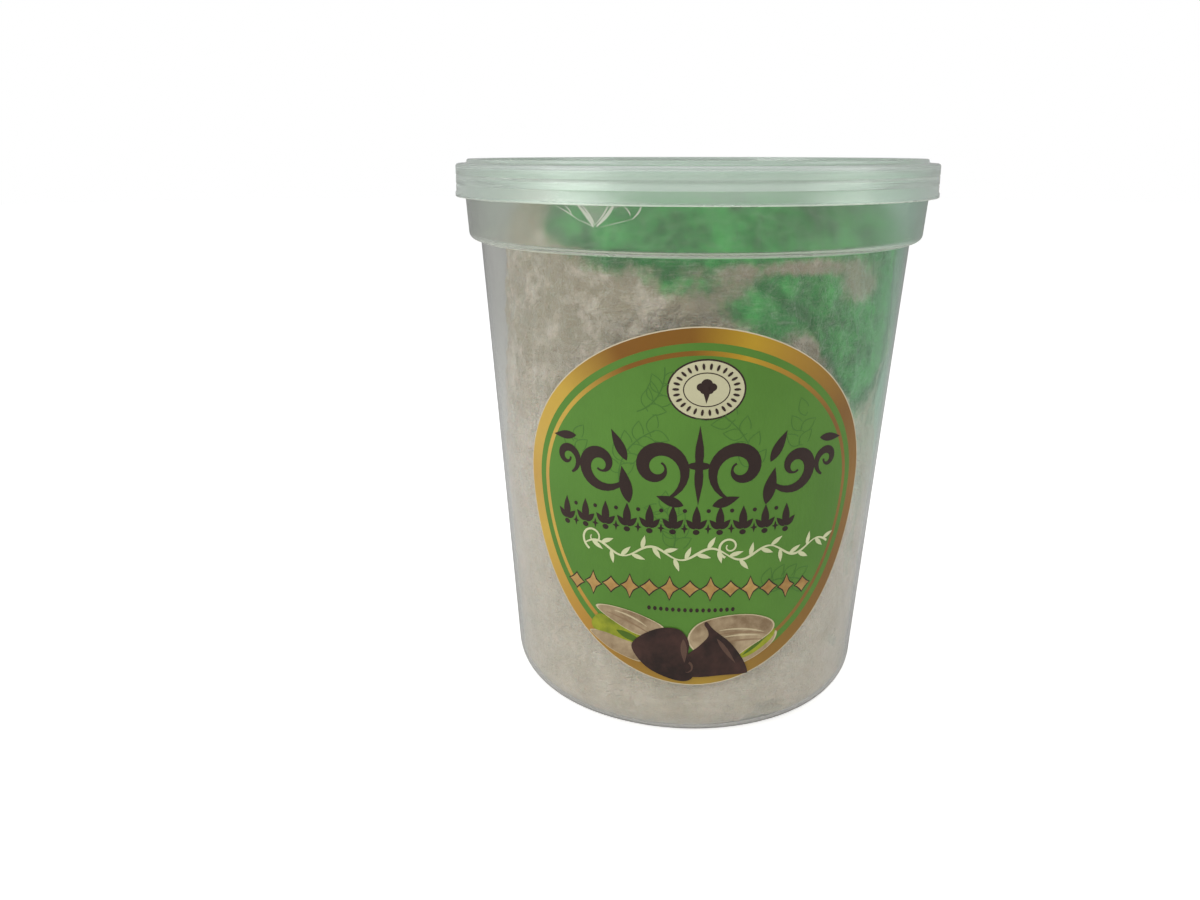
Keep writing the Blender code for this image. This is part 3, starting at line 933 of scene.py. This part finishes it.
def make_flap():
    """A crumpled V of film against the collar: a thin sheet, and the bright ridges where it is folded."""
    pick_nothing()
    columns = 26
    bpy.ops.mesh.primitive_grid_add(x_subdivisions=columns, y_subdivisions=6, size=2.0)
    sheet = bpy.context.object
    for vertex in sheet.data.vertices:
        across, up = vertex.co.x, (vertex.co.y + 1) / 2
        column = round((across + 1) / 2 * columns)
        foot = 124.2 * MM + 4.6 * MM * abs(across) ** 0.8
        height = foot + (129.6 * MM - foot) * up
        spread = across * (0.35 + 0.65 * up)
        lift = (0.12 if column % 2 else -0.12) * (0.2 + 0.8 * up) * MM
        vertex.co = on_collar(-20.5 + 11.5 * spread, height, 0.45 * MM - lift)
    settle(sheet, "SOLIDIFY", thickness=0.03 * MM, offset=0.0)
    face_outwards(sheet)
    smooth(sheet, 15)
    hand_over(sheet, "film_flap", (FOLDED_FILM,), "bag_film")

    ridges = []
    for start_turn, start_height, end_turn, end_height, half_width in FLAP_RIDGES:
        ridge = flat_shape(stroke([(t / 8, 0.0) for t in range(9)], lambda t: 1.0))
        for vertex in ridge.data.vertices:
            part = vertex.co.x
            bend = 0.35 * math.sin(math.pi * part)
            turn = start_turn + (end_turn - start_turn) * part + bend
            height = start_height + (end_height - start_height) * part
            across = vertex.co.y * half_width * (0.5 + math.sin(math.pi * part))
            vertex.co = on_collar(turn + across, height * MM, 0.22 * MM)
        settle(ridge, "SOLIDIFY", thickness=0.05 * MM, offset=0.0)
        face_outwards(ridge)
        ridges.append(ridge)
    hand_over(join(ridges), "film_flap_folds", (FOLD_GLINT,), "bag_film")


def on_collar(turn, height, gap):
    """A place just inside the collar, by its turn in degrees from the front."""
    rise = (height - LEDGE_HEIGHT) / (RIM_HEIGHT - LEDGE_HEIGHT)
    radius = COLLAR_RADIUS - WALL + (RIM_NECK_RADIUS - COLLAR_RADIUS) * rise - gap
    turn = math.radians(turn)
    return Vector((radius * math.sin(turn), -radius * math.cos(turn), height))


# ---------------------------------------------------------------------------------------------------------
# Label
# ---------------------------------------------------------------------------------------------------------


def on_wall(across, up, lift):
    """The place of a flat label point on the tapered wall, lift outside it."""
    taper = math.atan((BODY_TOP_RADIUS - BASE_RADIUS) / (LEDGE_HEIGHT - BASE_CORNER))
    middle = body_radius(LABEL_WIDEST_HEIGHT) / math.sin(taper)
    slant = math.hypot(across, middle + up)
    turn = LABEL_TURN + math.atan2(across, middle + up) / math.sin(taper)
    radius = slant * math.sin(taper) + lift * math.cos(taper)
    height = LABEL_WIDEST_HEIGHT + (slant - middle) * math.cos(taper) - lift * math.sin(taper)
    return Vector((radius * math.sin(turn), -radius * math.cos(turn), height))


def egg(inset_by, points=120):
    """The label's outline, drawn in by a distance."""
    outline = []
    for i in range(points):
        angle = FULL_TURN * i / points
        power = LABEL_TOP_POWER if math.sin(angle) > 0 else LABEL_BOTTOM_POWER
        reach = (LABEL_TOP if math.sin(angle) > 0 else LABEL_BOTTOM) - inset_by
        edge = (abs(math.cos(angle)) ** power + abs(math.sin(angle)) ** power) ** (-1 / power)
        outline.append((
            math.cos(angle) * edge * (LABEL_HALF_WIDTH - inset_by), math.sin(angle) * edge * reach,
        ))
    return outline


def oval(across, up, half_width, half_height, lean=0.0, points=48):
    outline = []
    for i in range(points):
        angle = FULL_TURN * i / points
        x, y = half_width * math.cos(angle), half_height * math.sin(angle)
        outline.append((
            across + x * math.cos(lean) - y * math.sin(lean), up + x * math.sin(lean) + y * math.cos(lean),
        ))
    return outline


def leaf(across, up, length, half_width, lean, points=12):
    """A pointed leaf from its stalk end, leaning from the level by lean."""
    shares = [i / points for i in range(points + 1)]
    side = [(length * share, half_width * math.sin(math.pi * share ** 0.8)) for share in shares]
    flat = side + [(x, -y) for x, y in side[-2:0:-1]]
    flat.reverse()
    return [
        (across + x * math.cos(lean) - y * math.sin(lean), up + x * math.sin(lean) + y * math.cos(lean))
        for x, y in flat
    ]


def star(across, up, reach_across, reach_up, waist):
    """A four-pointed star with hollow sides."""
    outline = []
    for i in range(4):
        for part in range(8):
            angle = math.pi / 2 * (i + part / 8)
            pull = abs(math.sin(2 * angle)) ** 0.55
            reach = math.hypot(reach_across * math.cos(angle), reach_up * math.sin(angle))
            radius = reach * (1 - pull) + waist * pull
            outline.append((across + radius * math.cos(angle), up + radius * math.sin(angle)))
    return outline


def stroke(path, half_width):
    """A band along a path of points; half_width gives its half width from 0 at the start to 1 at the end."""
    left, painted_floss_green = [], []
    last = len(path) - 1
    for i, (x, y) in enumerate(path):
        x0, y0 = path[max(i - 1, 0)]
        x1, y1 = path[min(i + 1, last)]
        length = math.hypot(x1 - x0, y1 - y0)
        nx, ny = -(y1 - y0) / length, (x1 - x0) / length
        half = half_width(i / last)
        left.append((x + nx * half, y + ny * half))
        painted_floss_green.append((x - nx * half, y - ny * half))
    return painted_floss_green + left[::-1]


def spiral(across, up, start_radius, end_radius, start, turns, points=36):
    """Points on a curl that winds from its wide end in to its eye. Negative turns wind clockwise."""
    path = []
    for i in range(points + 1):
        part = i / points
        radius = start_radius * (end_radius / start_radius) ** part
        angle = start + FULL_TURN * turns * part
        path.append((across + radius * math.cos(angle), up + radius * math.sin(angle)))
    return path


def mirrored(outline, middle=0.0):
    return [(2 * middle - x, y) for x, y in outline][::-1]


def scaled(outline):
    """Millimetres to metres."""
    return [(x * MM, y * MM) for x, y in outline]


def flat_shape(outline):
    """A filled circle reshaped to the outline, lying flat."""
    pick_nothing()
    bpy.ops.mesh.primitive_circle_add(vertices=len(outline), radius=MM, fill_type="NGON")
    piece = bpy.context.object
    for vertex, (across, up) in zip(piece.data.vertices, outline):
        vertex.co = (across, up, 0)
    if piece.data.polygons[0].normal.z < 0:
        piece.data.flip_normals()
    return piece


def printed(outlines, layer, thickness=INK_STEP):
    """Flat shapes cut into upright strips, laid on the wall and given their ink."""
    piece = join([flat_shape(outline) for outline in outlines])
    left = min(vertex.co.x for vertex in piece.data.vertices)
    painted_floss_green = max(vertex.co.x for vertex in piece.data.vertices)
    bpy.ops.object.mode_set(mode="EDIT")
    for i in range(math.ceil(left / STRIP), math.floor(painted_floss_green / STRIP) + 1):
        bpy.ops.mesh.select_all(action="SELECT")
        bpy.ops.mesh.bisect(plane_co=(i * STRIP, 0, 0), plane_no=(1, 0, 0))
    bpy.ops.object.mode_set(mode="OBJECT")
    lift = STICKER_LIFT + (STICKER_THICKNESS + INK_STEP * (layer - 1) if layer else 0)
    for vertex in piece.data.vertices:
        vertex.co = on_wall(vertex.co.x, vertex.co.y, lift)
    settle(piece, "SOLIDIFY", thickness=thickness, offset=1.0)
    return piece


def print_all(name, outlines, layer, material):
    """Prints every outline in one ink as one piece."""
    return hand_over(printed(outlines, layer), name, (material,), "label_print")


def rounded(points, steps=5):
    """A closed curve that runs smoothly through the points."""
    outline = []
    count = len(points)
    for i in range(count):
        a, b, c, d = (points[(i + k - 1) % count] for k in range(4))
        for j in range(steps):
            t = j / steps
            outline.append(tuple(
                0.5 * (2 * b[n] + (c[n] - a[n]) * t + (2 * a[n] - 5 * b[n] + 4 * c[n] - d[n]) * t * t
                       + (3 * b[n] - 3 * c[n] + d[n] - a[n]) * t * t * t)
                for n in (0, 1)
            ))
    return outline


def make_label():
    sticker = printed([egg(0.0)], 0, STICKER_THICKNESS)
    hand_over(sticker, "label_sticker", (STICKER_PAPER,), "label_print", "label")
    print_all("label_gold_border", [egg(0.25 * MM)], 1, GOLD)
    print_all("label_green_rim", [egg(3.5 * MM)], 2, LABEL_GREEN)
    print_all("label_gold_line", [egg(5.2 * MM)], 3, GOLD)
    print_all("label_green_field", [egg(6.3 * MM)], 4, LABEL_GREEN)
    make_leaf_sprays()
    make_badge()
    make_scrollwork()
    make_lower_rows()
    make_nuts_and_drops()


def make_leaf_sprays():
    """Faint line drawings of leafy stems behind everything else, kept inside the green field."""
    outlines = []
    for across, up, heading, length, hand in LEAF_STEMS:
        path = []
        for i in range(17):
            angle = math.radians(heading) + hand * 0.7 * i / 16
            path.append((across + length * i / 16 * math.cos(angle), up + length * i / 16 * math.sin(angle)))
        outlines.append(stroke(path, lambda t: 0.14))
        for i in range(3, 16, 3):
            x, y = path[i]
            heading_here = math.atan2(path[i + 1][1] - y, path[i + 1][0] - x)
            for side in (-1, 1):
                rim = leaf(x, y, 4.6, 1.3, heading_here + side * 0.8, 8)
                outlines.append(stroke(rim[2:] + rim[:1], lambda t: 0.10))
    kept = [outline for outline in outlines if all(in_field(x, y) for x, y in outline)]
    print_all("label_leaf_lines", [scaled(outline) for outline in kept], 5, LEAF_GREEN)


def in_field(across, up):
    """Whether a point in millimetres lies inside the label's inner gold line."""
    power = LABEL_TOP_POWER if up > 0 else LABEL_BOTTOM_POWER
    reach = (LABEL_TOP if up > 0 else LABEL_BOTTOM) / MM - 7.5
    half = LABEL_HALF_WIDTH / MM - 7.5
    return abs(across / half) ** power + abs(up / reach) ** power < 1


def make_badge():
    """An oval badge with a rim, a ring of dots, an inner ring and a puff of floss on a stick."""
    across, up = 1.1, 25.6
    print_all("badge_rim", [scaled(oval(across, up, 8.6, 6.9))], 5, DARK_BROWN)
    print_all("badge_face", [scaled(oval(across, up, 8.2, 6.5))], 6, BADGE_CREAM)
    print_all("badge_inner_ring", [scaled(oval(across, up, 5.1, 3.9))], 7, DARK_BROWN)
    print_all("badge_centre", [scaled(oval(across, up, 4.85, 3.65))], 8, BADGE_CREAM)
    marks = []
    for i in range(26):
        angle = FULL_TURN * i / 26
        marks.append(scaled(oval(
            across + 6.65 * math.cos(angle), up + 5.2 * math.sin(angle), 0.75, 0.30, angle, 12,
        )))
    for x, y, r in PUFF_LOBES:
        marks.append(scaled(oval(across + x, up + y, r, r * 0.92, 0.0, 20)))
    marks.append(scaled([(across - 0.75, up - 0.6), (across, up - 3.1), (across + 0.75, up - 0.6)]))
    print_all("badge_marks", marks, 9, DARK_BROWN)


def make_scrollwork():
    """A bold brown scroll ornament round a tall centre leaf, where such packs have their large print."""
    def swell(most):
        return lambda t: 0.25 + most * math.sin(math.pi * min(1.0, t * 1.15)) ** 0.9 * (1 - 0.55 * t)

    half = [
        stroke(spiral(9.2, 7.2, 7.6, 1.5, math.radians(250), -1.35), swell(1.75)),
        stroke(spiral(22.6, 6.4, 6.8, 1.3, math.radians(200), 1.3), swell(1.6)),
        stroke(spiral(31.6, 6.6, 3.8, 0.9, math.radians(250), -1.2), swell(0.9)),
        leaf(15.6, -2.0, 9.0, 1.5, math.radians(78)),
        leaf(16.2, 8.2, 8.0, 1.2, math.radians(62)),
        leaf(3.2, -1.6, 6.5, 1.2, math.radians(18)),
        leaf(29.0, 12.2, 6.5, 1.0, math.radians(-8)),
    ]
    outlines = [scaled(shape) for shape in half] + [scaled(mirrored(shape)) for shape in half]
    outlines.append(scaled(star(0.0, 8.0, 3.4, 9.4, 1.25)))
    print_all("label_scrollwork", outlines, 6, DARK_BROWN)


def palmette(across, up, height):
    """Three leaves that rise from one foot, with a bead under them."""
    foot = up - height * 0.36
    leaves = [leaf(across, foot, height * 0.9, height * 0.15, math.radians(90))]
    for side in (-1, 1):
        lean = math.radians(90 - side * 42)
        leaves.append(leaf(across + side * 0.25, foot, height * 0.50, height * 0.11, lean))
    leaves.append(oval(across, foot - height * 0.12, height * 0.12, height * 0.10, 0.0, 12))
    return leaves


def make_lower_rows():
    """A brown row of palmettes, a cream vine, a gold chain and a dotted line."""
    row = []
    for i in range(-6, 5):
        across = i * 5.3 - 0.2
        up = -5.0 - 0.0018 * across * across
        row += palmette(across, up, 6.4)
        if i < 4:
            row.append(star(across + 2.65, up - 2.2, 0.85, 1.25, 0.4))
            row.append(oval(across + 2.65, up + 2.2, 0.5, 0.5, 0.0, 10))
    print_all("label_palmettes", [scaled(shape) for shape in row], 6, DARK_BROWN)

    path = []
    for i in range(123):
        across = -27 + i * 0.5
        path.append((across, -13.6 - 0.0012 * across * across + 1.5 * math.sin(across * 0.46)))
    vine = [stroke(path, lambda t: 0.16 + 0.14 * abs(math.sin(t * 17.0)))]
    for i in range(4, 120, 5):
        x, y = path[i]
        heading = math.atan2(path[i + 1][1] - y, path[i + 1][0] - x)
        side = 1 if (i // 5) % 2 else -1
        vine.append(leaf(x, y, 3.5, 0.55, heading + side * 0.85, 8))
    vine.append(stroke(spiral(-24.5, -12.2, 3.4, 0.7, math.radians(250), -1.3), lambda t: 0.30 - 0.16 * t))
    vine.append(stroke(spiral(7.6, -11.8, 2.9, 0.7, math.radians(250), -1.3), lambda t: 0.30 - 0.16 * t))
    print_all("label_vine", [scaled(shape) for shape in vine], 7, CREAM)

    rims, fills = [], []
    for i in range(-6, 7):
        across = i * 4.7 - 1.2
        up = -22.4 - 0.0028 * across * across
        tall = 3.3 if i % 2 else 2.3
        rims.append(scaled(star(across, up, 2.5, tall, 1.5)))
        fills.append(scaled(star(across, up, 2.05, tall - 0.45, 1.2)))
    print_all("label_lozenge_rims", rims, 6, DARK_BROWN)
    print_all("label_lozenges", fills, 7, LOZENGE_GOLD)
    dots = [scaled(oval(x * 1.4 - 0.8, -28.0, 0.42, 0.55, 0.0, 12)) for x in range(-7, 8)]
    print_all("label_dotted_line", dots, 6, DARK_BROWN)


# Outlines of the nuts and chocolate drops, in millimetres from the middle of the label.
UPPER_SHELL = (
    (-24.0, -30.2), (-20.2, -29.1), (-13.5, -29.9), (-7.2, -32.6), (-8.6, -34.6), (-12.6, -35.7),
    (-18.9, -33.3),
)
LEFT_KERNEL = (
    (-25.1, -34.4), (-22.7, -32.0), (-18.5, -33.4), (-12.4, -35.8), (-13.4, -38.0), (-20.8, -36.8),
    (-24.4, -36.6),
)
LOWER_SHELL = ((-25.7, -37.2), (-20.8, -36.5), (-14.0, -37.8), (-12.0, -42.8), (-18.9, -41.4), (-23.6, -39.0))
RIGHT_KERNEL = ((19.4, -34.6), (19.6, -36.6), (16.6, -39.2), (12.2, -41.3), (9.6, -40.4), (13.5, -38.0))
RIGHT_HULL = ((20.0, -35.4), (20.0, -37.8), (16.6, -40.6), (11.6, -42.8), (9.0, -42.0), (13.5, -39.0))
RIGHT_SHELL = (
    (-1.4, -36.0), (0.8, -31.6), (6.8, -29.6), (13.7, -29.8), (19.0, -32.2), (19.2, -35.2),
    (13.5, -38.6), (9.0, -41.0), (2.0, -40.0),
)
LEFT_DROP = (
    (-14.6, -39.4), (-13.1, -36.2), (-8.3, -33.2), (-3.6, -33.0), (-1.1, -36.3), (-1.2, -40.6),
    (0.5, -44.0), (-0.8, -46.7), (-4.6, -46.7), (-10.9, -44.0),
)
RIGHT_DROP = (
    (2.4, -31.6), (3.0, -31.0), (4.6, -33.0), (8.6, -36.7), (11.8, -41.4), (13.2, -45.0),
    (12.4, -45.6), (7.4, -45.5), (-1.4, -45.5), (-1.6, -40.4), (1.3, -37.4), (3.3, -35.0), (3.3, -33.4),
)


def shrunk(points, share):
    """The points drawn towards their middle."""
    x = sum(point[0] for point in points) / len(points)
    y = sum(point[1] for point in points) / len(points)
    return [(x + (px - x) * share, y + (py - y) * share) for px, py in points]


def make_nuts_and_drops():
    """Two nuts in their open shells and two chocolate drops over the lower border, drawn in soft tones."""
    def draw(name, layer, material, *shapes):
        print_all(name, [scaled(shape) for shape in shapes], layer, material)

    def grain(x, y, length, lean, bend):
        path = [(x + length * t * math.cos(lean + bend * t), y + length * t * math.sin(lean + bend * t))
                for t in (i / 10 for i in range(11))]
        return stroke(path, lambda t: 0.06 + 0.16 * math.sin(math.pi * t))

    draw("nut_hull_edges", 8, SHELL_LIGHT, rounded(LOWER_SHELL), rounded(RIGHT_HULL))
    draw("nut_hulls", 9, SHELL, rounded(shrunk(LOWER_SHELL, 0.94)), rounded(shrunk(RIGHT_HULL, 0.90)))
    draw("nut_kernels", 10, KERNEL, rounded(LEFT_KERNEL), rounded(RIGHT_KERNEL))
    draw(
        "nut_kernel_shades", 11, KERNEL_SHADE,
        leaf(-18.6, -35.4, 8.0, 0.9, -0.32), leaf(11.8, -40.6, 8.4, 0.45, 0.62),
    )
    draw("nut_shell_edges", 12, SHELL_LIGHT, rounded(UPPER_SHELL), rounded(RIGHT_SHELL))
    draw("nut_shells", 13, SHELL, rounded(shrunk(UPPER_SHELL, 0.94)), rounded(shrunk(RIGHT_SHELL, 0.96)))
    draw(
        "nut_shell_grain", 14, SHELL_SHADE,
        grain(-21.0, -31.0, 12.0, -0.16, -0.2), grain(4.0, -34.8, 14.0, 0.22, -0.28),
        grain(6.0, -36.8, 11.0, 0.18, -0.2),
    )
    draw(
        "nut_shell_lights", 15, SHELL_LIGHT,
        grain(-19.0, -30.2, 8.5, -0.05, -0.3), grain(6.0, -33.4, 11.0, 0.16, -0.3),
        grain(7.0, -35.2, 9.0, 0.16, -0.22),
    )
    draw("right_drop", 16, CHOCOLATE, rounded(RIGHT_DROP))
    draw("right_drop_light", 17, CHOCOLATE_LIGHT, leaf(5.4, -35.4, 8.6, 0.55, -0.98))
    draw("left_drop", 18, CHOCOLATE, rounded(LEFT_DROP))
    draw(
        "left_drop_light", 19, CHOCOLATE_LIGHT,
        leaf(-2.4, -35.6, 6.4, 0.75, -1.5),
        stroke(spiral(-1.6, -43.6, 1.9, 0.9, 1.2, -0.45), lambda t: 0.28 * (1 - t) + 0.05),
    )


# ---------------------------------------------------------------------------------------------------------
# Studio
# ---------------------------------------------------------------------------------------------------------


def make_studio():
    pick_nothing()
    bpy.ops.mesh.primitive_circle_add(vertices=96, radius=3.0, fill_type="NGON", location=(0, 0, -0.2 * MM))
    floor = bpy.context.object
    floor.name = "floor"
    material, tree, shader = new_material("pale_floor", Roughness=0.7, Specular_IOR_Level=0.2)
    tone = use_group(tree, MOTTLE, Vector=object_vector(tree), Scale=3.0, Amount=0.5)
    pale = mix_colours(tree, tone, paint(244, 244, 243), paint(248, 248, 247))
    tree.links.new(pale, shader.inputs["Base Color"])
    shader.inputs["Emission Color"].default_value = (1, 1, 1, 1)
    shader.inputs["Emission Strength"].default_value = FLOOR_GLOW
    seen = tree.nodes.new("ShaderNodeLightPath")
    plain = tree.nodes.new("ShaderNodeBsdfDiffuse")
    tone = mix_colours(tree, seen.outputs["Is Glossy Ray"], FLOOR_THROUGH, FLOOR_SHINE)
    tone = mix_colours(tree, seen.outputs["Is Diffuse Ray"], tone, FLOOR_BOUNCE)
    tree.links.new(tone, plain.inputs["Color"])
    mix = tree.nodes.new("ShaderNodeMixShader")
    tree.links.new(seen.outputs["Is Camera Ray"], mix.inputs[0])
    tree.links.new(plain.outputs[0], mix.inputs[1])
    tree.links.new(shader.outputs[0], mix.inputs[2])
    tree.links.new(mix.outputs[0], tree.nodes["Material Output"].inputs["Surface"])
    floor.data.materials.append(material)

    world = bpy.data.worlds.new("studio")
    bpy.context.scene.world = world
    world.use_nodes = True
    tree = world.node_tree
    around = tree.nodes["Background"]
    around.inputs["Color"].default_value = (1, 1, 1, 1)
    around.inputs["Strength"].default_value = ROOM_LIGHT
    behind = tree.nodes.new("ShaderNodeBackground")
    behind.inputs["Color"].default_value = (1, 1, 1, 1)
    behind.inputs["Strength"].default_value = 1.0
    path = tree.nodes.new("ShaderNodeLightPath")
    mix = tree.nodes.new("ShaderNodeMixShader")
    tree.links.new(path.outputs["Is Camera Ray"], mix.inputs[0])
    tree.links.new(around.outputs[0], mix.inputs[1])
    tree.links.new(behind.outputs[0], mix.inputs[2])
    tree.links.new(mix.outputs[0], tree.nodes["World Output"].inputs["Surface"])

    for name, place, size, power in LAMPS:
        add_lamp(name, place, size, power)


def add_lamp(name, place, size, power):
    lamp = bpy.data.lights.new(name, "AREA")
    lamp.shape = "SQUARE"
    lamp.size = size
    lamp.energy = power
    holder = bpy.data.objects.new(name, lamp)
    bpy.context.scene.collection.objects.link(holder)
    holder.location = place
    middle = Vector((0, 0, LID_TOP / 2))
    holder.rotation_euler = (middle - Vector(place)).to_track_quat("-Z", "Y").to_euler()


def make_camera():
    camera = bpy.data.cameras.new("camera")
    camera.sensor_width = 36.0
    camera.lens = CAMERA_LENS
    camera.clip_start = 0.01
    holder = bpy.data.objects.new("camera", camera)
    bpy.context.scene.collection.objects.link(holder)
    holder.location = CAMERA_PLACE
    holder.rotation_euler = (math.radians(90 - CAMERA_TILT), 0.0, math.radians(CAMERA_TURN))
    bpy.context.scene.camera = holder


def set_view():
    bpy.context.scene.view_settings.view_transform = "Standard"


make_camera()
make_studio()
set_view()
make_tub()
make_lid()
make_floss()
make_film()
make_label()
